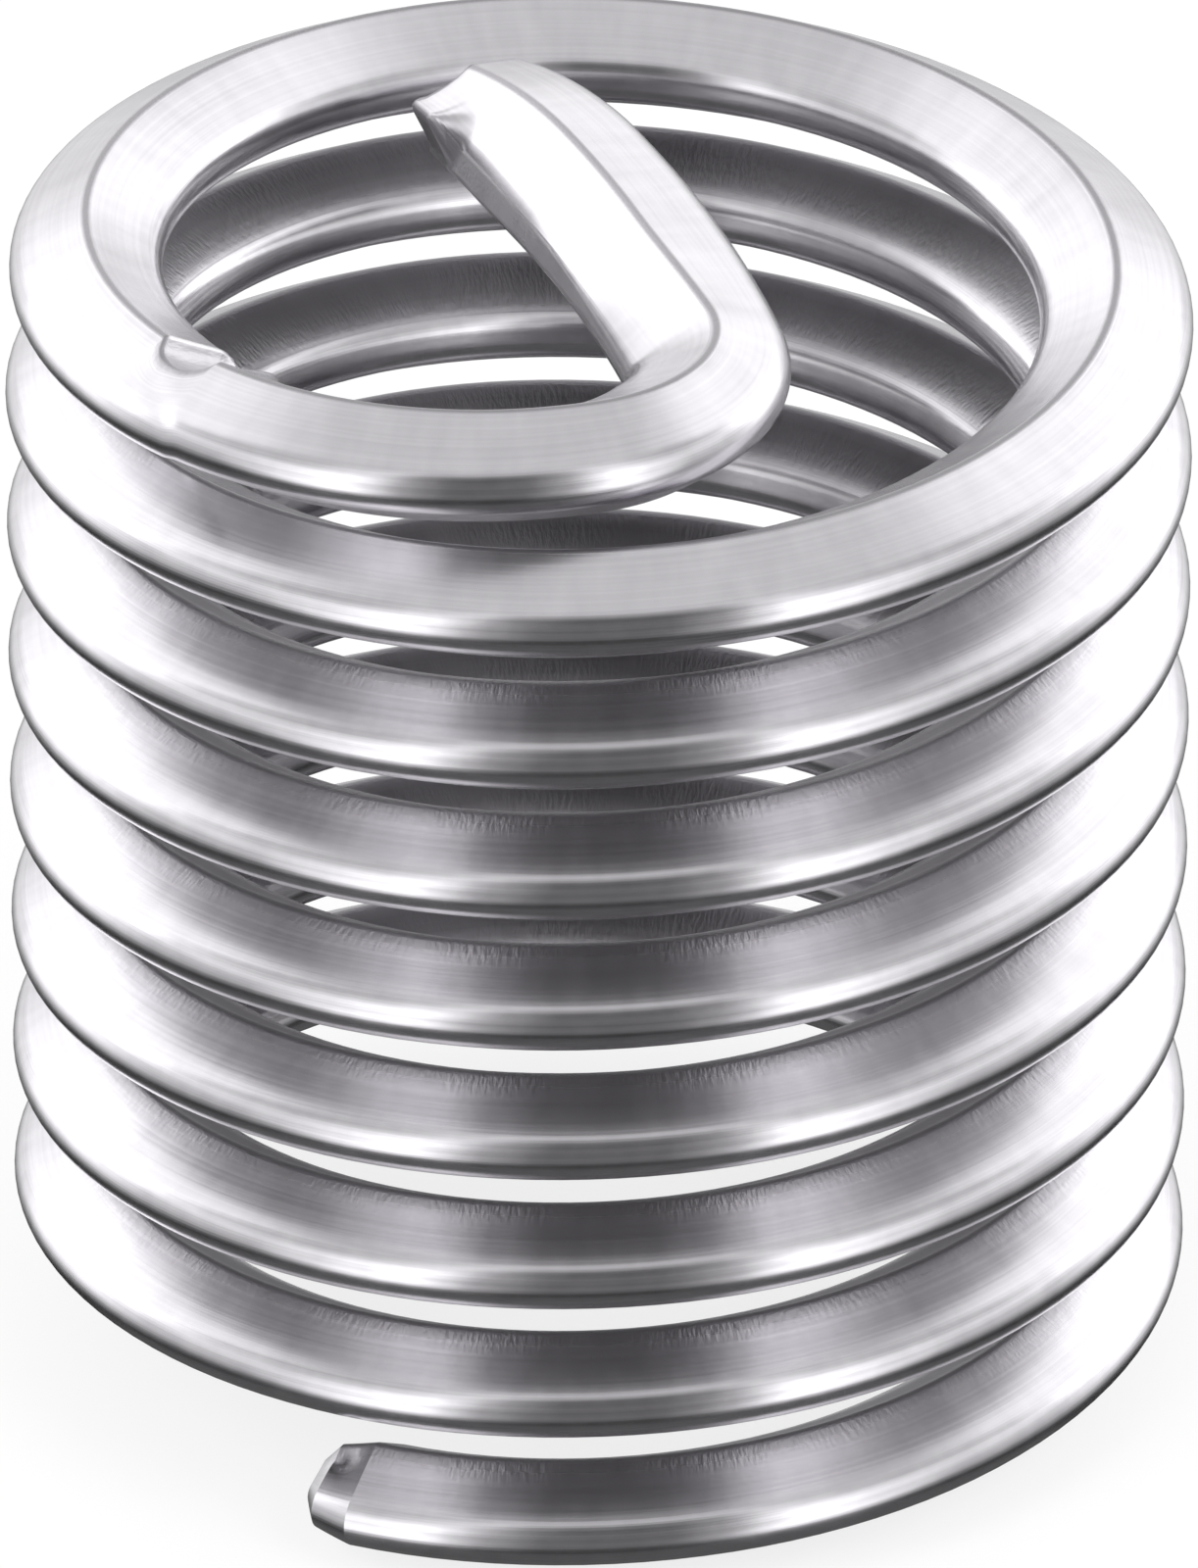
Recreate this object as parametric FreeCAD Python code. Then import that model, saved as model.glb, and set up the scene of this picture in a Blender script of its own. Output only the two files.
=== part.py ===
import FreeCAD, Part
import math
import os

# Helical thread insert, free and not yet fitted: one length of rolled stainless wire, wound to a
# right-handed coil, with a driving tang bent across its top.
# The wire's section is a rhombus. Its outer half is the external thread that grips a tapped hole,
# and its inner half is the internal thread that takes the bolt.
# The origin is on the coil's axis, level with the wire's lowest point. +Z runs up to the tang,
# and the front of the part is -Y. Lengths are in millimetres and angles in degrees.

Vector = FreeCAD.Vector
UP = Vector(0, 0, 1)

# Wire section, seen across the wire: "out" runs away from the coil's axis, "up" along it
wire_depth = 1.56          # from the inner crest to the outer crest
thread_angle = 60.0        # between the two flanks of either crest
crest_flat = 0.20          # width of the flat on each crest
crest_bevel = 0.065        # depth of the bevel on both sides of that flat
crest_bevel_angle = 60.0   # slope of that bevel, up from the out direction

# Coil
outer_diameter = 12.1      # over the outer crests
pitch = 1.512
tip_angle = -122.0         # where the wire starts, counted anticlockwise from +X
full_turns = 7.45          # turns at the full diameter

# Last part-turn, up to the lead: drawn in a little, and flatter
draw_in = 0.03
draw_in_sweep = 174.0
draw_in_slope = 0.028      # rise along the wire

# Lead to the bend, on a tighter arc
lead_shift = 1.33          # how much less its radius is than the coil's
lead_sweep = 71.5
bend_slope = 0.018         # rise along the wire

# Tang, which keeps a slight curve
bend_radius = 1.78         # of the wire's centre line
tang_heading = 103.0       # direction past the bend, counted anticlockwise from +X
tang_radius = 21.0
tang_clearance = 0.65      # from the end of its centre line to the bore
shear_length = 2.4         # end of the tang that the shear drew down
shear_drop = 0.22
shear_shrink = 0.2         # share by which the section is smaller at the very end
shear_undercut = 0.5       # further share that its lower half loses there

# What the bend does to the section, each eased in along the wire from a length past the lead's start
tang_twist = 24.6          # raises the outer crest
twist_start = 5.6
twist_length = 4.3
outer_stretch = -0.18      # change of the depth on the outer side, as a share
inner_stretch = 0.35       # and on the inner side
stretch_start = 3.4
stretch_length = 3.0

# Notch where the tang breaks off, a round groove across the upper inner flank
notch_radius = 0.45
notch_depth = 0.24
notch_place = 0.35         # along the wire from the lead's start to the middle of the groove

# Lower end, cut off and deburred: the section's size at the face and at the shoulder
tip_face_share = 0.45
tip_shoulder_share = 0.82
tip_shoulder_length = 0.2
tip_bevel_length = 0.6

# Longest span that one strip of surface covers along a curve, and the points that fit it
span_sweep = 45.0
span_points = 7


def section_corners():
    """Corners of the section as (out, up) pairs, in order round it."""
    crest = wire_depth / 2
    flat = crest_flat / 2
    bevel_out = crest - crest_bevel
    bevel_up = flat + crest_bevel * math.tan(math.radians(crest_bevel_angle))
    ridge = bevel_up + bevel_out * math.tan(math.radians(thread_angle / 2))
    upper = [(crest, flat), (bevel_out, bevel_up), (0.0, ridge), (-bevel_out, bevel_up), (-crest, flat)]
    lower = [(out, -up) for out, up in reversed(upper)]
    return upper + lower


corners = section_corners()
half_width = max(up for _, up in corners)
mean_radius = (outer_diameter - wire_depth) / 2
bore_radius = outer_diameter / 2 - wire_depth
lead_radius = mean_radius - lead_shift
coil_slope = pitch / (2 * math.pi * mean_radius)


def eased(run, start, length):
    """Share from 0 to 1 that grows smoothly along a stretch of wire."""
    share = min(max((run - start) / length, 0.0), 1.0)
    return share**2 * (3 - 2 * share)


class Station:
    """One place on the centre line. Its run is the length past the lead's start, endless before it."""

    def __init__(self, place, heading, slope, run=-math.inf, scale=1.0, undercut=0.0):
        self.place = place
        self.heading = heading
        self.slope = slope
        self.run = run
        self.scale = scale
        self.undercut = undercut

    def ahead(self):
        turn = math.radians(self.heading)
        return Vector(math.cos(turn), math.sin(turn), 0)

    def outward(self):
        return self.ahead().cross(UP)

    def corner(self, out, up):
        stretch = outer_stretch if out > 0 else inner_stretch
        out *= 1 + stretch * eased(self.run, stretch_start, stretch_length)
        if up < 0:
            up *= 1 - self.undercut
        twist = math.radians(tang_twist * eased(self.run, twist_start, twist_length))
        across = out * math.cos(twist) - up * math.sin(twist)
        rise = out * math.sin(twist) + up * math.cos(twist)
        return self.place + self.outward() * (across * self.scale) + UP * (rise * self.scale)


def arc_span(start, radius, sweep, end_slope):
    """Stations of one span that turns left. The slope changes evenly to end_slope."""
    centre = start.place - start.outward() * radius
    length = radius * math.radians(sweep)
    stations = []
    for i in range(span_points):
        share = i / (span_points - 1)
        slope = start.slope + (end_slope - start.slope) * share
        rise = length * share * (start.slope + slope) / 2
        station = Station(None, start.heading + sweep * share, slope, start.run + length * share)
        station.place = centre + station.outward() * radius + UP * rise
        stations.append(station)
    return stations


def arc_spans(start, radius, sweep, end_slope):
    """The spans of an arc, each of at most span_sweep degrees."""
    count = math.ceil(sweep / span_sweep)
    spans = []
    for i in range(count):
        slope = start.slope + (end_slope - start.slope) / (count - i)
        spans.append(arc_span(start, radius, sweep / count, slope))
        start = spans[-1][-1]
    return spans


def shear_span(start):
    """Stations of the tang's end, drawn down, made smaller and undercut by the shear."""
    stations = arc_span(start, tang_radius, math.degrees(shear_length / tang_radius), 0.0)
    for station in stations:
        share = (station.run - start.run) / shear_length
        station.place -= UP * (shear_drop * share**2)
        station.scale = 1 - shear_shrink * share**2
        station.undercut = shear_undercut * share**2
    return stations


def tip_spans():
    """The two bevels of the lower end, along the first stretch of the coil."""
    places = [(0.0, tip_face_share), (tip_shoulder_length, tip_shoulder_share), (tip_bevel_length, 1.0)]
    stations = []
    for length, scale in places:
        station = coil_station(tip_angle + math.degrees(length / mean_radius))
        station.scale = scale
        stations.append(station)
    return [stations[:2], stations[1:]]


def coil_station(angle):
    """The station of the full coil at an angle round its axis."""
    turned = math.radians(angle - tip_angle)
    rise = coil_slope * (mean_radius * turned - tip_bevel_length)
    turn = math.radians(angle)
    place = Vector(mean_radius * math.cos(turn), mean_radius * math.sin(turn), half_width + rise)
    return Station(place, angle + 90, coil_slope)


def tang_sweep(start):
    """Sweep of the tang's curve from a station to its end, where the centre line nears the bore."""
    centre = start.place - start.outward() * tang_radius
    distance = math.hypot(centre.x, centre.y)
    reach = bore_radius - tang_clearance
    between = math.acos((reach**2 - distance**2 - tang_radius**2) / (2 * distance * tang_radius))
    end_outward = math.atan2(centre.y, centre.x) - between
    return (math.degrees(end_outward) + 90 - start.heading) % 360


def coil_cylinder(span, out):
    """The cylinder that a corner of the section stays on along the coil, its seam away from the span."""
    cylinder = Part.Cylinder()
    cylinder.Radius = mean_radius + out
    cylinder.rotate(FreeCAD.Placement(Vector(0, 0, 0), UP, span[0].heading - 180))
    return cylinder


def line_on(cylinder, span, start, end):
    """Edge on that cylinder between two places, each a station's index in the span and an up."""
    places = []
    for index, up in (start, end):
        turned = math.radians(span[index].heading - span[0].heading + 90)
        places.append(FreeCAD.Base.Vector2d(turned, span[index].place.z + up))
    return Part.Geom2d.Line2dSegment(*places).toShape(cylinder)


def coil_strips(span):
    """The faces of a span of the full coil. Its crests are strips of true cylinders."""
    cylinders = {out: coil_cylinder(span, out) for out, _ in corners}
    rails = [line_on(cylinders[out], span, (0, up), (-1, up)) for out, up in corners]
    faces = []
    for i, (out, up) in enumerate(corners):
        j = (i + 1) % len(corners)
        if out != corners[j][0]:
            faces.append(Part.makeRuledSurface(rails[i], rails[j]))
            continue
        first = line_on(cylinders[out], span, (0, up), (0, -up))
        last = line_on(cylinders[out], span, (-1, up), (-1, -up))
        faces.append(Part.Face(cylinders[out], Part.Wire([rails[i], last, rails[j], first])))
    return faces


def rail(span, out, up):
    """Edge that one corner of the section draws along a span."""
    points = [station.corner(out, up) for station in span]
    if len(points) == 2:
        return Part.LineSegment(*points).toShape()
    curve = Part.BSplineCurve()
    curve.interpolate(points)
    return curve.toShape()


def strips(span):
    """The faces of any other span, one for each side of the section."""
    rails = [rail(span, out, up) for out, up in corners]
    return [Part.makeRuledSurface(rails[i - 1], rails[i]) for i in range(len(rails))]


def end_face(station):
    points = [station.corner(out, up) for out, up in corners]
    return Part.Face(Part.makePolygon(points + points[:1]))


def notch_cutter(station):
    """Round bar that lies along the upper inner flank and sinks notch_depth into it."""
    slope = math.radians(thread_angle / 2)
    along = station.outward() * math.cos(slope) + UP * math.sin(slope)
    normal = UP * math.cos(slope) - station.outward() * math.sin(slope)
    middle = station.corner(-wire_depth / 4, half_width / 2)
    start = middle + normal * (notch_radius - notch_depth) - along * wire_depth
    return Part.makeCylinder(notch_radius, 2 * wire_depth, start, along)


def spans_past(lead_start):
    """The spans from there to the end of the tang: lead, bend, tang and its sheared end."""
    lead_start.run = 0.0
    lead = arc_spans(lead_start, lead_radius, lead_sweep, bend_slope)
    turned = (tang_heading - lead[-1][-1].heading) % 360
    bend = arc_spans(lead[-1][-1], bend_radius, turned, 0.0)
    bend_end = bend[-1][-1]
    sheared = math.degrees(shear_length / tang_radius)
    tang = arc_spans(bend_end, tang_radius, tang_sweep(bend_end) - sheared, 0.0)
    return lead + bend + tang + [shear_span(tang[-1][-1])]


def thread_insert():
    """The whole wire, from its lower end to the end of the tang."""
    tip = tip_spans()
    coil_start = tip_angle + math.degrees(tip_bevel_length / mean_radius)
    coil_sweep = tip_angle + 360 * full_turns - coil_start
    coil = arc_spans(coil_station(coil_start), mean_radius, coil_sweep, coil_slope)
    drawn = arc_spans(coil[-1][-1], mean_radius - draw_in, draw_in_sweep, draw_in_slope)
    lead_start = drawn[-1][-1]
    beyond = spans_past(lead_start)
    to_notch = math.degrees(notch_place / lead_radius)
    notch = arc_span(lead_start, lead_radius, to_notch, lead_start.slope)[-1]

    faces = [end_face(tip[0][0]), end_face(beyond[-1][-1])]
    for span in coil:
        faces += coil_strips(span)
    for span in tip + drawn + beyond:
        faces += strips(span)
    shell = Part.makeShell(faces)
    shell.sewShape()
    wire = Part.Solid(shell)
    return wire.cut(notch_cutter(notch))


def main():
    insert = thread_insert()
    os.makedirs("parts", exist_ok=True)
    insert.exportStep("parts/thread_insert.step")


main()
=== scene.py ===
import math

import bmesh
import bpy
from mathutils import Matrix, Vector

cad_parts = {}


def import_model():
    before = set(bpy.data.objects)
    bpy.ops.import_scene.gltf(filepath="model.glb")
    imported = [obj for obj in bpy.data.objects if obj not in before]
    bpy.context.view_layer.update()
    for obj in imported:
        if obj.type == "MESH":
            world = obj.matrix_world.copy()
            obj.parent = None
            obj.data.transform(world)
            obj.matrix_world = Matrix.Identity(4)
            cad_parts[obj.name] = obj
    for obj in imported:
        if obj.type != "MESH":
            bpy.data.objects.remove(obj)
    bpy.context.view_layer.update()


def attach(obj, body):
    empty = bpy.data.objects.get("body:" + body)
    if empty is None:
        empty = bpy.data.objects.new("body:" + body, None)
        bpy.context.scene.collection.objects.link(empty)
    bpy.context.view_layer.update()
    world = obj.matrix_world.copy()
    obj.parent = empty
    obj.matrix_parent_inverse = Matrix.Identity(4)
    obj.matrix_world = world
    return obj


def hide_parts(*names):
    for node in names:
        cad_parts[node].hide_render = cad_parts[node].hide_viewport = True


# Looks of the helical thread insert: one finely meshed wire of drawn stainless steel, a pale floor,
# a ball of light that only the metal reflects, soft lamps and the camera.
# Wire sizes are in millimetres and degrees, as in the part's source.

MM = 0.001
UP = Vector((0, 0, 1))

# Wire section
wire_depth = 1.56
half_width = 0.6254        # from the middle to the sharp top ridge
flank_slope = 30.0
crest_radius = 0.303
ridge_radius = 0.12

# Coil
mean_radius = 5.27
pitch = 1.512
tip_angle = -122.0
full_turns = 7.45

# Last part-turn up to the lead, then the lead to the bend
draw_in = 0.03
draw_in_sweep = 174.0
draw_in_slope = 0.028
lead_shift = 1.33
lead_sweep = 71.5
bend_slope = 0.018

# Tang
bend_radius = 1.78
tang_heading = 103.0
tang_radius = 21.0
bore_radius = 4.49
tang_clearance = 0.65
shear_length = 2.4
shear_drop = 0.22
shear_shrink = 0.2
shear_undercut = 0.5

# What the bend does to the section
tang_twist = 24.6
twist_start = 5.6
twist_length = 4.3
outer_stretch = -0.18
inner_stretch = 0.35
stretch_start = 3.4
stretch_length = 3.0

# Notch and lower end
notch_radius = 0.45
notch_depth = 0.24
notch_place = 0.35         # past the start of the lead
tip_face_share = 0.45
tip_shoulder_share = 0.82
tip_shoulder_length = 0.2
tip_bevel_length = 0.6

# Kink and burr that the notching left, too fine for the part's source, as are the next three
notch_twist = 3.5          # degrees that the wire turned
notch_twist_start = -0.3   # from the middle of the notch
notch_twist_lag = 0.9      # how much later it turned for each millimetre out from the ridge
notch_twist_length = 0.2
burr_reach = 0.3           # how far the inner crest was pressed out
burr_place = 0.1           # past the middle of the notch
burr_length = 0.3
burr_start = 0.3           # in from the ridge
burr_width = 0.3           # over which it grows there, and fades down the crest
burr_fade_start = 0.1      # above the middle of the crest

# Flat that the bend pressed on the inner crest of the tang
flat_depth = 0.1
flat_start = 8.0           # past the start of the lead
flat_length = 7.0          # over which it grows
flat_lean = 0.565          # how far it leans outward on its way up

# Nose at the sheared end of the tang
nose_lift = 0.5            # how far the inner crest was raised
nose_advance = 0.12        # and pushed forward
nose_length = 0.8
nose_step = 0.2            # length over which it rises at the crest
nose_ramp = 0.9            # and how much longer that is at the ridge
nose_power = 1.5           # how quickly it falls off from the crest to the ridge
nose_blend = 0.12          # height over which it grows, up from the middle of the crest
nose_round = 0.15          # length of the tang's rounded rim
end_gap = 0.0015           # how far the mesh stops short of the solid's end

# Mark of the deburring tool on the upper bevel of the lower end
dent_depth = 0.11
dent_run = 0.32            # from the lower end to its middle
dent_out = 0.18
dent_length = 0.13
dent_width = 0.09
dent_cutoff = 3.0          # in its own lengths, where it has faded to nothing

# Where the steel is dull, and where painted shade lies, from 0 to 1
# Painted shade along the top and bottom ridges, where the turns face each other across the gap
ridge_shade_limit = 0.8
ridge_shade_peak = 1.2        # what the ridge's middle would reach without that limit
cut_dullness = 0.8         # of the torn side of the notch
cut_smooth_share = 0.6     # how dull its other side is, as a share of that
cut_change = 0.15          # length over which the one side turns into the other
cut_full_depth = 0.03      # depth from which the notch is fully dull
burr_film_width = 0.2      # in from the ridge, over which the burr's dullness grows
bore_shade = 0.7            # painted shade of the inner flanks
bore_shade_width = 0.15     # over which it starts and ends
bore_shade_end = 0.45       # in from the ridge
ridge_side_shade = 0.5           # painted shade beside the upper ridges
ridge_side_shade_start = 0.05    # to both sides of the ridge, where it starts to fade
ridge_side_shade_width = 0.2
tang_flat_shade = 0.5            # painted shade of the flat on the tang
tang_flat_shade_start = 0.4      # in from the ridge
tang_flat_shade_width = 0.1
tang_flat_shade_top = 0.22       # above the middle
shear_shade_start = 0.3     # painted shade of the tang's sheared end, in from the ridge
shear_shade_width = 0.2
shear_shade_height = 0.2    # above and below the middle

# Fineness of the mesh
coil_step = 3.0            # degrees between rings of the coil
lead_step = 0.1            # millimetres between rings past the notch
fine_step = 0.06           # on the tang
notch_step = 0.03          # at the notch and the lower end
notch_reach = 0.7          # millimetres of fine rings on both sides of the notch
rim_rings = 6
crest_segments = 7
flank_segments = 5
ridge_segments = 3
uv_length = 10.0           # millimetres of wire for each unit of the UV map
same_place = 1e-6          # lengths along the wire that differ by less are the same

# Steel. A pattern's scales count round the section and along the wire, and the third does nothing.
line_scale = (150.0, 1.2, 1.0)
line_detail = 3.0
blot_scale = (9.0, 32.0, 1.0)
blot_detail = 2.0
grit_scale = (60.0, 220.0, 1.0)
grit_detail = 2.0
grit_height = 20.0         # in heights of the drawn lines
line_height = 0.01         # millimetres
relief_strength = 0.1
steel_tones = ((0.35, (0.64, 0.625, 0.655, 1)), (0.65, (0.74, 0.725, 0.755, 1)))
# Darker tone of dull steel, which also paints the shade
dull_and_shade_tone = (0.27, 0.262, 0.278, 1)
bright_roughness = (0.17, 0.25)
added_roughness = 0.25     # where the steel is fully dull or fully in painted shade
anisotropy = 0.75

# Floor and lamps, in metres, degrees and watts
floor_reach = 3.0
floor_tone = (0.9, 0.9, 0.9, 1)
floor_roughness = 0.9
floor_whiteness = 0.8      # share of plain white in what the camera sees, the rest keeps the shadow
lamp_bearing = 40
lamp_elevation = 40
lamp_distance = 0.28
lamp_size = 0.12
lamp_power = 0.25
lamp_aim = Vector((0, 0, 0.006))

# Camera, in metres and degrees
camera_elevation = 29.2
camera_distance = 0.28
camera_aim = Vector((0, 0, 0.00629))
camera_lens = 417.0

# Light that the metal reflects, where 1 is white. Bearings count from the front, to either side,
# and elevations up from the horizon, both in degrees.
surround_radius = 0.3      # metres
surround_step = 4
side_levels = (
    (0, 0.2), (12, 0.2), (24, 0.56), (36, 2.25), (54, 1.35),
    (68, 1.05), (92, 1.25), (110, 2.6), (132, 2.6), (142, 1.7), (158, 1.5), (180, 1.35),
)
fade_start = -38.5         # elevation at which the sides rise out of the ground's shade
fade_ends = ((0, -17), (50, -17), (70, 15), (180, 15))     # and where they are full, by bearing
horizon_dimming = 0.35
horizon_elevation = 5
horizon_spread = 9
upper_dimming = 0.45
upper_start = 20
upper_rise = 25
ceiling_level = 0.77
ceiling_start = 52
ceiling_rise = 20
ground_level = 0.11
ground_end = -50
ground_rise = 15

# Worked out from the sizes above
flank = math.radians(flank_slope)
ridge_reach = ridge_radius * math.sin(flank)
ridge_top = half_width - ridge_radius / math.cos(flank) + ridge_radius
flank_reach = wire_depth / 2 - crest_radius * (1 - math.sin(flank))
flat_reach = wire_depth / 2 - crest_radius + crest_radius * math.hypot(1, flat_lean)
coil_slope = pitch / (2 * math.pi * mean_radius)
coil_length = mean_radius * math.radians(360 * full_turns)
drawn_length = (mean_radius - draw_in) * math.radians(draw_in_sweep)
wire_length = coil_length + drawn_length     # up to the start of the lead
top_turn = 2 * math.pi * mean_radius         # back from there


def eased(value, start, length):
    """Share from 0 to 1 that grows smoothly as a value passes from start to start plus length."""
    share = min(max((value - start) / length, 0.0), 1.0)
    return share**2 * (3 - 2 * share)


def level_between(points, value):
    """Level at a value, on straight runs between (value, level) points."""
    for (start, low), (end, high) in zip(points, points[1:]):
        if value <= end:
            return low + (high - low) * (value - start) / (end - start)
    return points[-1][1]


class Ring:
    """One ring of the mesh. Its run is the length past the start of the lead, less than zero before it."""

    def __init__(self, place, heading, slope, run, scale=1.0):
        self.place = place
        self.heading = heading
        self.slope = slope
        self.run = run
        self.scale = scale
        self.undercut = 0.0
        self.to_end = math.inf

    def ahead(self):
        turn = math.radians(self.heading)
        return Vector((math.cos(turn), math.sin(turn), 0))

    def outward(self):
        return self.ahead().cross(UP)

    def point(self, out, up):
        """Where a point of the section comes to lie, in millimetres."""
        kink = self.kink(out)
        burr = self.burr(out, up)
        nose = self.nose_share(out, up)
        out, up = dented(*notched(out, up, self.run), self.run)
        pressed = flat_depth * eased(self.run, flat_start, flat_length)
        out = max(out, pressed + flat_lean * up - flat_reach)
        if up < 0:
            up *= 1 - self.undercut
        out -= burr
        up += nose_lift * nose
        stretch = outer_stretch if out > 0 else inner_stretch
        out *= 1 + stretch * eased(self.run, stretch_start, stretch_length)
        twist = math.radians(tang_twist * eased(self.run, twist_start, twist_length) + kink)
        across = (out * math.cos(twist) - up * math.sin(twist)) * self.scale
        rise = (out * math.sin(twist) + up * math.cos(twist)) * self.scale
        return self.place + self.outward() * across + UP * rise + self.ahead() * (nose_advance * nose)

    def kink(self, out):
        """Degrees that the notching turned the section here."""
        start = notch_twist_start + notch_twist_lag * max(out, 0.0)
        return notch_twist * eased(self.run - notch_place, start, notch_twist_length)

    def burr(self, out, up):
        """How far the notching pressed a point of the section inward."""
        share = burr_share(self.run) * eased(-out, burr_start, burr_width)
        return burr_reach * share * (1 - eased(-up, -burr_fade_start, burr_width))

    def nose_share(self, out, up):
        """How much a point of the section takes part in the nose of the tang, from 0 to 1."""
        inner = max(-out, 0.0) / (wire_depth / 2)
        ramp = nose_step + nose_ramp * (1 - inner)
        risen = eased(nose_length - self.to_end, nose_step - ramp, ramp)
        return inner**nose_power * eased(up, 0.0, nose_blend) * risen

    def dullness_and_shade(self, out, up):
        """How dull the steel is at a point of the section, with the painted shade added, from 0 to 1."""
        # Painted shade along both ridges
        ridge_shade = min(ridge_shade_peak * (1 - abs(out) / ridge_reach), ridge_shade_limit)
        return max(ridge_shade, self.cut_dulled(out, up), self.bore_and_ridge_shade(out, up), self.tang_shade(out, up))

    def cut_dulled(self, out, up):
        """The notch and its burr are dull, most of all on the side towards the tang."""
        cut = eased(sunk(self.run), 0.0, cut_full_depth) * sunk_share(out, up, self.run)
        cut *= out <= ridge_reach
        cut = max(cut, burr_share(self.run) * eased(-out, 0.0, burr_film_width) * (up > 0))
        torn = eased(self.run - notch_place, 0.0, cut_change)
        return cut_dullness * cut * (cut_smooth_share + (1 - cut_smooth_share) * torn)

    def bore_and_ridge_shade(self, out, up):
        """Painted shade lies on the inner flanks and beside the upper ridge, but not on top of the top
        turn.
        """
        shaded_bore = bore_shade * eased(-out, 0.0, bore_shade_width)
        shaded_bore *= 1 - eased(-out, bore_shade_end, bore_shade_width)
        if up <= 0:
            return shaded_bore
        ridge_shade = ridge_side_shade * (1 - eased(abs(out), ridge_side_shade_start, ridge_side_shade_width))
        return max(shaded_bore, ridge_shade) * (self.run < -top_turn)

    def tang_shade(self, out, up):
        """Painted shade, a little on the flat of the tang and full on its sheared end."""
        shaded_flat = tang_flat_shade * eased(self.run, flat_start, flat_length)
        shaded_flat *= eased(-out, tang_flat_shade_start, tang_flat_shade_width) * (up < tang_flat_shade_top)
        shaded_end = eased(-out, shear_shade_start, shear_shade_width) * (abs(up) < shear_shade_height)
        return max(shaded_flat, shaded_end * (self.to_end < nose_length - nose_step))


def burr_share(run):
    """How much of the burr by the notch stands at a length along the wire."""
    return math.exp(-(((run - notch_place - burr_place) / burr_length) ** 2))


def sunk(run):
    """Depth of the notch at a length along the wire."""
    reach = max(notch_radius**2 - (run - notch_place) ** 2, 0.0)
    return max(math.sqrt(reach) - (notch_radius - notch_depth), 0.0)


def sunk_share(out, up, run):
    """How much of the notch's depth a point of the section takes part in, from 0 to 1."""
    depth = sunk(run)
    if depth == 0 or up < 0:
        return 0.0
    if out > 0:
        return max(1 - out / flank_reach, 0.0)
    drop = (ridge_top - up) * math.cos(flank) + out * math.sin(flank)
    return min(max(1 - drop / depth, 0.0), 1.0)


def notched(out, up, run):
    """Sinks a point of the section into the notch, which slides it down along the outer flank."""
    slide = sunk(run) * sunk_share(out, up, run) / math.sin(2 * flank)
    return out + slide * math.cos(flank), up - slide * math.sin(flank)


def dented(out, up, run):
    """Presses the deburring mark into the upper bevel of the lower end."""
    along = (run + wire_length - dent_run) / dent_length
    if up <= 0 or abs(along) > dent_cutoff:
        return out, up
    across = (out - dent_out) / dent_width
    return out, up - dent_depth * math.exp(-along**2 - across**2)


def even_shares(*stretches):
    """Shares of an arc at which its rings stand, from pairs of a stretch's end and its count."""
    shares = []
    start = 0.0
    for end, count in stretches:
        shares += [start + (end - start) * i / count for i in range(1, count + 1)]
        start = end
    return shares


def arc(start, radius, sweep, end_slope, shares):
    """Rings along an arc that turns left, without its first."""
    centre = start.place - start.outward() * radius
    length = radius * math.radians(sweep)
    rings = []
    for share in shares:
        slope = start.slope + (end_slope - start.slope) * share
        rise = length * share * (start.slope + slope) / 2
        ring = Ring(None, start.heading + sweep * share, slope, start.run + length * share)
        ring.place = centre + ring.outward() * radius + UP * rise
        rings.append(ring)
    return rings


def coil_ring(length, scale=1.0):
    """Ring of the full coil at a length from the lower end."""
    angle = tip_angle + math.degrees(length / mean_radius)
    turn = math.radians(angle)
    rise = half_width + coil_slope * (length - tip_bevel_length)
    place = Vector((mean_radius * math.cos(turn), mean_radius * math.sin(turn), rise))
    return Ring(place, angle + 90, coil_slope, length - wire_length, scale)


def tip_rings():
    """Rings of the two bevels at the lower end. The scale grows in straight runs."""
    sizes = ((0.0, tip_face_share), (tip_shoulder_length, tip_shoulder_share), (tip_bevel_length, 1.0))
    count = round(tip_bevel_length / notch_step)
    lengths = {tip_bevel_length * i / count for i in range(count + 1)} | {tip_shoulder_length}
    return [coil_ring(length, level_between(sizes, length)) for length in sorted(lengths)]


def coil_rings():
    """Rings of the full coil past the lower end's bevels."""
    count = round(360 * full_turns / coil_step)
    length = coil_length - tip_bevel_length
    return [coil_ring(tip_bevel_length + length * i / count) for i in range(1, count + 1)]


def drawn_rings(start):
    """Rings of the last part-turn, close together where the notch begins."""
    near = notch_reach - notch_place
    far = 1 - near / drawn_length
    shares = even_shares((far, round(draw_in_sweep * far / coil_step)), (1.0, round(near / notch_step)))
    return arc(start, mean_radius - draw_in, draw_in_sweep, draw_in_slope, shares)


def lead_rings(start):
    """Rings of the lead, close together up to the end of the notch."""
    radius = mean_radius - lead_shift
    length = radius * math.radians(lead_sweep)
    near = notch_reach + notch_place
    far = length - near
    shares = even_shares((near / length, round(near / notch_step)), (1.0, round(far / lead_step)))
    return arc(start, radius, lead_sweep, bend_slope, shares)


def bend_rings(start):
    """Rings of the bend, from the lead to the tang."""
    turned = (tang_heading - start.heading) % 360
    shares = even_shares((1.0, round(bend_radius * math.radians(turned) / fine_step)))
    return arc(start, bend_radius, turned, 0.0, shares)


def tang_sweep(start):
    """Sweep of the tang's curve to where its centre line ends, near the bore."""
    centre = start.place - start.outward() * tang_radius
    distance = math.hypot(centre.x, centre.y)
    reach = bore_radius - tang_clearance
    between = math.acos((reach**2 - distance**2 - tang_radius**2) / (2 * distance * tang_radius))
    end_outward = math.atan2(centre.y, centre.x) - between
    return (math.degrees(end_outward) + 90 - start.heading) % 360


def tang_rings(start):
    """Rings of the tang, closest together on its rounded rim."""
    sweep = tang_sweep(start)
    length = tang_radius * math.radians(sweep)
    to_rim = (1 - nose_round / length, round(length / fine_step))
    shares = even_shares(to_rim, (1 - end_gap / length, rim_rings))
    rings = arc(start, tang_radius, sweep, 0.0, shares)
    shear(rings)
    return rings


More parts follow.
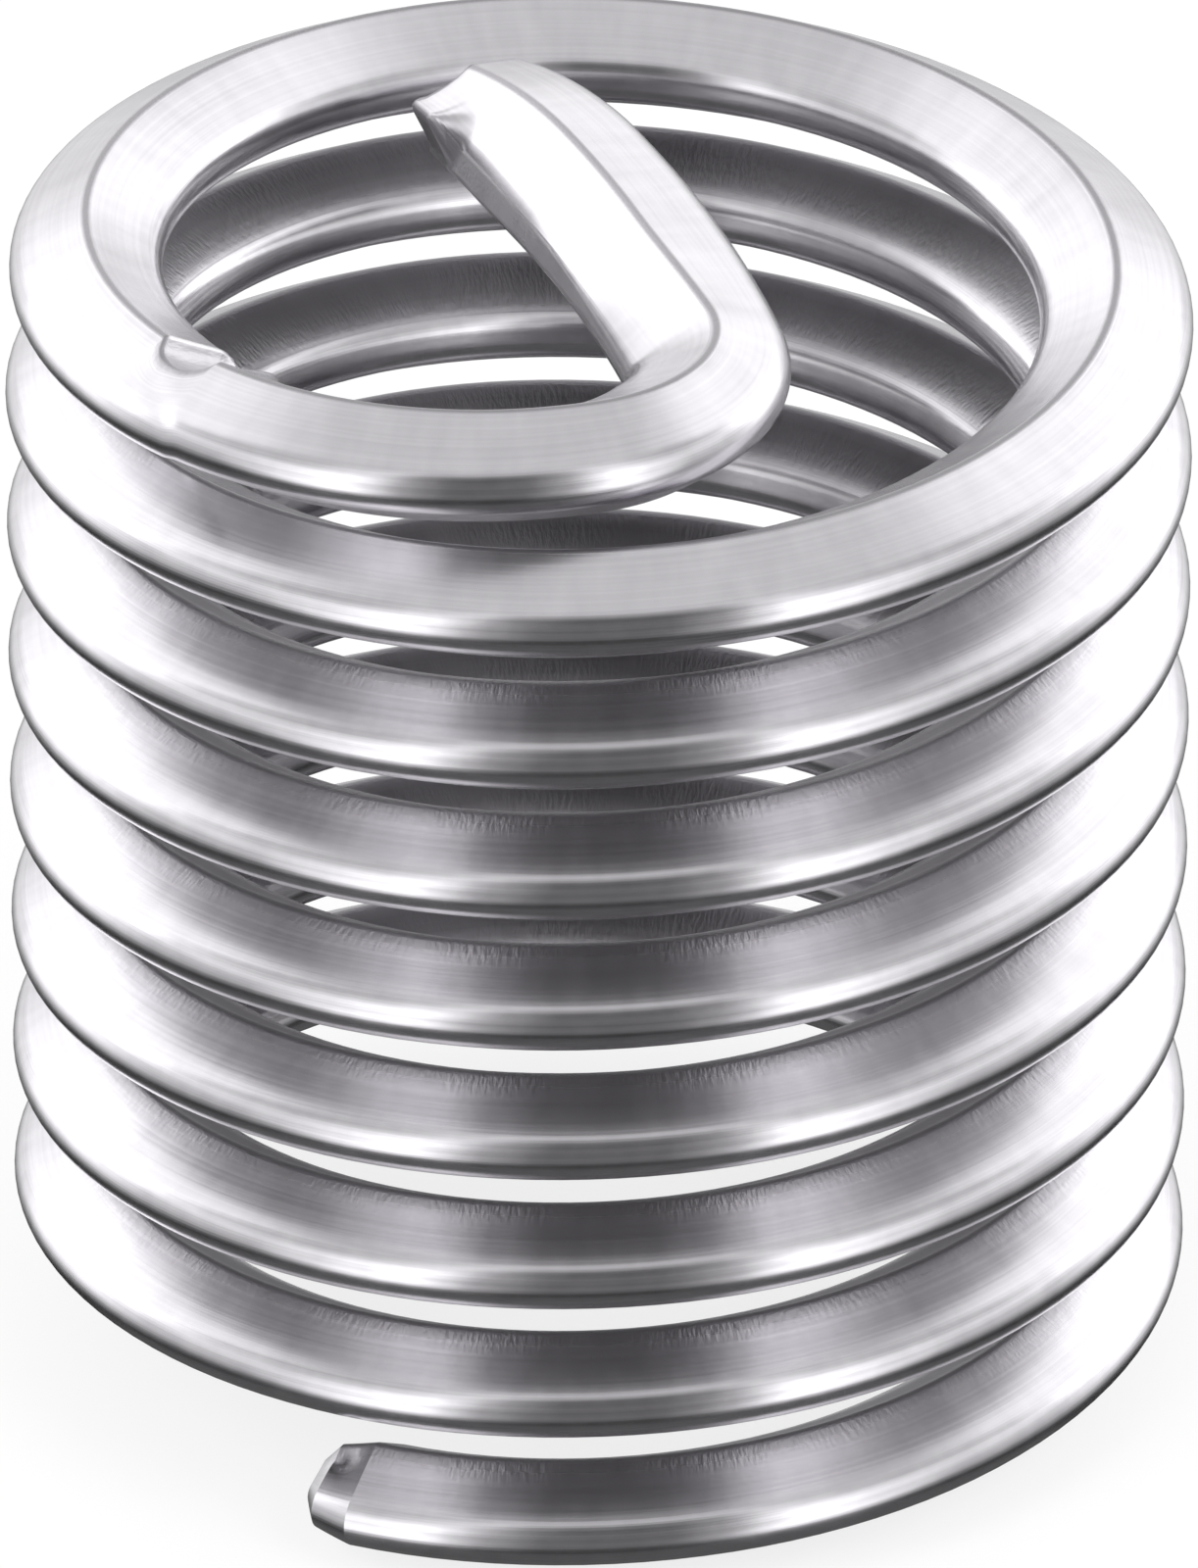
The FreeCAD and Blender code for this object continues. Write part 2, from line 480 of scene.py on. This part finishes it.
def shear(tang):
    """Draws down, shrinks and undercuts the end of the tang, and rounds its rim."""
    end = tang[-1].run
    for ring in tang:
        share = max((ring.run - end + shear_length) / shear_length, 0.0)
        ring.place -= UP * (shear_drop * share**2)
        ring.scale = 1 - shear_shrink * share**2
        ring.undercut = shear_undercut * share**2
        ring.to_end = end - ring.run
        inward = max(ring.run - end + nose_round, 0.0) / nose_round
        ring.scale *= 1 - nose_round / half_width * (1 - math.sqrt(1 - inward**2))


def wire_rings():
    """Every ring of the wire, from the lower end to the end of the tang."""
    rings = tip_rings() + coil_rings()
    for rings_past in (drawn_rings, lead_rings, bend_rings, tang_rings):
        rings += rings_past(rings[-1])
    return rings


def quarter_profile():
    """Points of the section from the outer crest's middle to the top ridge, as (out, up)."""
    centre = wire_depth / 2 - crest_radius
    points = []
    for i in range(crest_segments):
        turn = (math.pi / 2 - flank) * i / crest_segments
        points.append((centre + crest_radius * math.cos(turn), crest_radius * math.sin(turn)))
    first = (centre + crest_radius * math.sin(flank), crest_radius * math.cos(flank))
    ridge_centre = half_width - ridge_radius / math.cos(flank)
    last = (ridge_radius * math.sin(flank), ridge_centre + ridge_radius * math.cos(flank))
    for i in range(flank_segments):
        share = i / flank_segments
        points.append((first[0] + (last[0] - first[0]) * share, first[1] + (last[1] - first[1]) * share))
    for i in range(ridge_segments + 1):
        turn = flank * (1 - i / ridge_segments)
        points.append((ridge_radius * math.sin(turn), ridge_centre + ridge_radius * math.cos(turn)))
    return points


def section_profile():
    """The closed section as (out, up) points, starting at the middle of the outer crest."""
    quarter = quarter_profile()
    mirrored = [(-out, up) for out, up in reversed(quarter[:-1])]
    upper = quarter + mirrored
    lower = [(out, -up) for out, up in reversed(upper[1:-1])]
    return upper + lower


def wire_mesh():
    """The wire as one closed mesh with a UV map, which runs round the section and along the wire."""
    rings = wire_rings()
    profile = section_profile()
    mesh = bmesh.new()
    layer = mesh.loops.layers.uv.new("wire")
    # Each point stores how dull the steel is there, with the painted shade added
    dull_and_shade = mesh.verts.layers.float.new("dull_and_shade")
    rows = []
    for ring in rings:
        row = [mesh.verts.new(ring.point(out, up) * MM) for out, up in profile]
        for vertex, (out, up) in zip(row, profile):
            vertex[dull_and_shade] = ring.dullness_and_shade(out, up)
        rows.append(row)
    count = len(profile)
    for i in range(len(rows) - 1):
        for j in range(count):
            k = (j + 1) % count
            face = mesh.faces.new((rows[i][j], rows[i][k], rows[i + 1][k], rows[i + 1][j]))
            face.smooth = True
            uvs = ((j, i), (j + 1, i), (j + 1, i + 1), (j, i + 1))
            for loop, (around, along) in zip(face.loops, uvs):
                loop[layer].uv = (around / count, rings[along].run / uv_length)
    mesh.faces.new(list(reversed(rows[0])))
    mesh.faces.new(rows[-1])
    sharpen_tip(mesh, rings, rows)
    bmesh.ops.recalc_face_normals(mesh, faces=mesh.faces[:])
    data = bpy.data.meshes.new("wire")
    mesh.to_mesh(data)
    mesh.free()
    return data


def sharpen_tip(mesh, rings, rows):
    """Makes the edges sharp where the lower end's bevels meet its face, each other and the coil."""
    edges = (0.0, tip_shoulder_length, tip_bevel_length)
    for row, ring in zip(rows, rings):
        length = ring.run + wire_length
        if min(abs(length - edge) for edge in edges) < same_place:
            for a, b in zip(row, row[1:] + row[:1]):
                mesh.edges.get((a, b)).smooth = False


def calculated(material, operation, *inputs):
    """Result of a math node, whose inputs are numbers or other nodes' outputs."""
    node = material.node_tree.nodes.new("ShaderNodeMath")
    node.operation = operation
    for socket, value in zip(node.inputs, inputs):
        if isinstance(value, bpy.types.NodeSocket):
            material.node_tree.links.new(value, socket)
        else:
            socket.default_value = value
    return node.outputs[0]


def stored(material, name):
    """Number that is stored on the mesh under a name."""
    node = material.node_tree.nodes.new("ShaderNodeAttribute")
    node.attribute_name = name
    return node.outputs["Fac"]


def noise(material, scale, detail):
    """Noise that follows the wire, scaled round the section and along the wire."""
    nodes, links = material.node_tree.nodes, material.node_tree.links
    uv = nodes.new("ShaderNodeUVMap")
    uv.uv_map = "wire"
    stretch = nodes.new("ShaderNodeMapping")
    stretch.inputs["Scale"].default_value = scale
    pattern = nodes.new("ShaderNodeTexNoise")
    pattern.inputs["Scale"].default_value = 1.0
    pattern.inputs["Detail"].default_value = detail
    links.new(uv.outputs["UV"], stretch.inputs["Vector"])
    links.new(stretch.outputs["Vector"], pattern.inputs["Vector"])
    return pattern.outputs["Fac"]


def steel_colour(material, grain, dull_and_shade):
    """Colour that varies a little along the wire and is darker where the steel is dull or painted shade
    lies.
    """
    nodes, links = material.node_tree.nodes, material.node_tree.links
    tint = nodes.new("ShaderNodeValToRGB")
    for stop, (position, tone) in zip(tint.color_ramp.elements, steel_tones):
        stop.position = position
        stop.color = tone
    mix = nodes.new("ShaderNodeMix")
    mix.data_type = "RGBA"
    mix.inputs["B"].default_value = dull_and_shade_tone
    links.new(grain, tint.inputs["Fac"])
    links.new(dull_and_shade, mix.inputs["Factor"])
    links.new(tint.outputs["Color"], mix.inputs["A"])
    return mix.outputs["Result"]


def steel_roughness(material, grain, dull_and_shade):
    """Roughness that varies a little along the wire and is higher where the steel is dull or painted shade
    lies.
    """
    bright = material.node_tree.nodes.new("ShaderNodeMapRange")
    bright.inputs["To Min"].default_value, bright.inputs["To Max"].default_value = bright_roughness
    material.node_tree.links.new(grain, bright.inputs["Value"])
    return calculated(material, "MULTIPLY_ADD", dull_and_shade, added_roughness, bright.outputs["Result"])


def steel_relief(material, lines, dull_and_shade):
    """Relief of the drawn lines, with coarse grit where the steel is dull or painted shade lies."""
    grit = calculated(material, "MULTIPLY", noise(material, grit_scale, grit_detail), dull_and_shade)
    height = calculated(material, "MULTIPLY_ADD", grit, grit_height, lines)
    bump = material.node_tree.nodes.new("ShaderNodeBump")
    bump.inputs["Strength"].default_value = relief_strength
    bump.inputs["Distance"].default_value = line_height * MM
    material.node_tree.links.new(height, bump.inputs["Height"])
    return bump.outputs["Normal"]


def steel_material():
    """Drawn stainless steel, with fine lines along the wire, duller places and painted shade."""
    material = bpy.data.materials.new("stainless_wire")
    material.use_nodes = True
    nodes, links = material.node_tree.nodes, material.node_tree.links
    shader = nodes["Principled BSDF"]
    shader.inputs["Metallic"].default_value = 1.0
    shader.inputs["Anisotropic"].default_value = anisotropy
    tangent = nodes.new("ShaderNodeTangent")
    tangent.direction_type = "UV_MAP"
    tangent.uv_map = "wire"
    lines = noise(material, line_scale, line_detail)
    half_blots = calculated(material, "MULTIPLY", noise(material, blot_scale, blot_detail), 0.5)
    grain = calculated(material, "MULTIPLY_ADD", lines, 0.5, half_blots)
    # Dullness with the painted shade, stored on the mesh
    dull_and_shade = stored(material, "dull_and_shade")
    links.new(tangent.outputs["Tangent"], shader.inputs["Tangent"])
    links.new(steel_colour(material, grain, dull_and_shade), shader.inputs["Base Color"])
    links.new(steel_roughness(material, grain, dull_and_shade), shader.inputs["Roughness"])
    links.new(steel_relief(material, lines, dull_and_shade), shader.inputs["Normal"])
    return material


def floor_material():
    """Pale floor, nearly plain white to camera and glossy rays, with the shadow in the rest."""
    material = bpy.data.materials.new("floor")
    material.use_nodes = True
    nodes, links = material.node_tree.nodes, material.node_tree.links
    shader = nodes["Principled BSDF"]
    shader.inputs["Base Color"].default_value = floor_tone
    shader.inputs["Roughness"].default_value = floor_roughness
    shader.inputs["Specular IOR Level"].default_value = 0.0
    white = nodes.new("ShaderNodeEmission")
    white.inputs["Strength"].default_value = 1.0
    rays = nodes.new("ShaderNodeLightPath")
    seen = calculated(material, "MAXIMUM", rays.outputs["Is Camera Ray"], rays.outputs["Is Glossy Ray"])
    mix = nodes.new("ShaderNodeMixShader")
    links.new(calculated(material, "MULTIPLY", seen, floor_whiteness), mix.inputs["Fac"])
    links.new(shader.outputs["BSDF"], mix.inputs[1])
    links.new(white.outputs["Emission"], mix.inputs[2])
    links.new(mix.outputs["Shader"], nodes["Material Output"].inputs["Surface"])
    return material


def surround_material():
    """Emission whose strength is stored on the mesh."""
    material = bpy.data.materials.new("surround")
    material.use_nodes = True
    nodes, links = material.node_tree.nodes, material.node_tree.links
    nodes.clear()
    emission = nodes.new("ShaderNodeEmission")
    output = nodes.new("ShaderNodeOutputMaterial")
    links.new(stored(material, "level"), emission.inputs["Strength"])
    links.new(emission.outputs["Emission"], output.inputs["Surface"])
    return material


def add_object(name, data, material):
    thing = bpy.data.objects.new(name, data)
    bpy.context.scene.collection.objects.link(thing)
    data.materials.append(material)
    return thing


def floor():
    """The floor, which the metal doesn't reflect, because the surround has its own ground."""
    reach = floor_reach
    corners = [(-reach, -reach, 0), (reach, -reach, 0), (reach, reach, 0), (-reach, reach, 0)]
    data = bpy.data.meshes.new("floor")
    data.from_pydata(corners, [], [(0, 1, 2, 3)])
    thing = add_object("floor", data, floor_material())
    thing.visible_glossy = False


def direction(bearing, elevation):
    """Unit vector away from the part, at a bearing counted from the front, positive to the right."""
    turn = math.radians(bearing)
    tilt = math.radians(elevation)
    return Vector((math.sin(turn) * math.cos(tilt), -math.cos(turn) * math.cos(tilt), math.sin(tilt)))


def surround_level(bearing, elevation):
    """How bright the studio is in one direction: its sides, the fall to the ground and the ceiling."""
    side = abs(bearing)
    fade_end = level_between(fade_ends, side)
    level = level_between(side_levels, side)
    level *= eased(elevation, fade_start, fade_end - fade_start)
    level *= 1 - horizon_dimming * math.exp(-(((elevation - horizon_elevation) / horizon_spread) ** 2))
    level *= 1 - upper_dimming * eased(elevation, upper_start, upper_rise)
    level += (ceiling_level - level) * eased(elevation, ceiling_start, ceiling_rise)
    return level + ground_level * (1 - eased(elevation, ground_end, ground_rise))


def surround():
    """Ball of soft light and shade round the studio, seen only in the metal's reflections."""
    columns = 360 // surround_step
    points = []
    levels = []
    for elevation in range(-90, 91, surround_step):
        for bearing in range(-180, 180, surround_step):
            points.append(direction(bearing, elevation) * surround_radius)
            levels.append(surround_level(bearing, elevation))
    faces = []
    for first in range(0, len(points) - columns, columns):
        for i in range(columns):
            j = (i + 1) % columns
            faces.append((first + i, first + j, first + columns + j, first + columns + i))
    data = bpy.data.meshes.new("surround")
    data.from_pydata(points, [], faces)
    level = data.attributes.new("level", "FLOAT", "POINT")
    level.data.foreach_set("value", levels)
    ball = add_object("surround", data, surround_material())
    ball.visible_camera = False
    ball.visible_diffuse = False
    ball.visible_shadow = False


def lamps():
    """Two soft lamps that face the part from the front, left and right, and aren't seen in the metal."""
    for name, bearing in (("front_left_lamp", -lamp_bearing), ("front_right_lamp", lamp_bearing)):
        lamp = bpy.data.lights.new(name, "AREA")
        lamp.shape = "SQUARE"
        lamp.size = lamp_size
        lamp.energy = lamp_power
        thing = bpy.data.objects.new(name, lamp)
        away = direction(bearing, lamp_elevation)
        thing.location = lamp_aim + away * lamp_distance
        thing.rotation_euler = away.to_track_quat("Z", "Y").to_euler()
        thing.visible_glossy = False
        bpy.context.scene.collection.objects.link(thing)


def world():
    """White surround, plain in strength."""
    white = bpy.data.worlds.new("surround")
    white.use_nodes = True
    background = white.node_tree.nodes["Background"]
    background.inputs["Color"].default_value = (1, 1, 1, 1)
    background.inputs["Strength"].default_value = 1.0
    bpy.context.scene.world = white


def camera():
    """The photograph's view, from the front and above, through a long lens."""
    data = bpy.data.cameras.new("camera")
    data.sensor_fit = "VERTICAL"
    data.sensor_height = 24
    data.lens = camera_lens
    data.clip_start = 0.01
    thing = bpy.data.objects.new("camera", data)
    back = direction(0, camera_elevation)
    thing.location = camera_aim + back * camera_distance
    thing.rotation_euler = back.to_track_quat("Z", "Y").to_euler()
    bpy.context.scene.collection.objects.link(thing)
    bpy.context.scene.camera = thing


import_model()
wire = add_object("wire", wire_mesh(), steel_material())
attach(wire, "root")
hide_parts("thread_insert")
floor()
world()
surround()
lamps()
camera()
bpy.context.scene.view_settings.view_transform = "Standard"
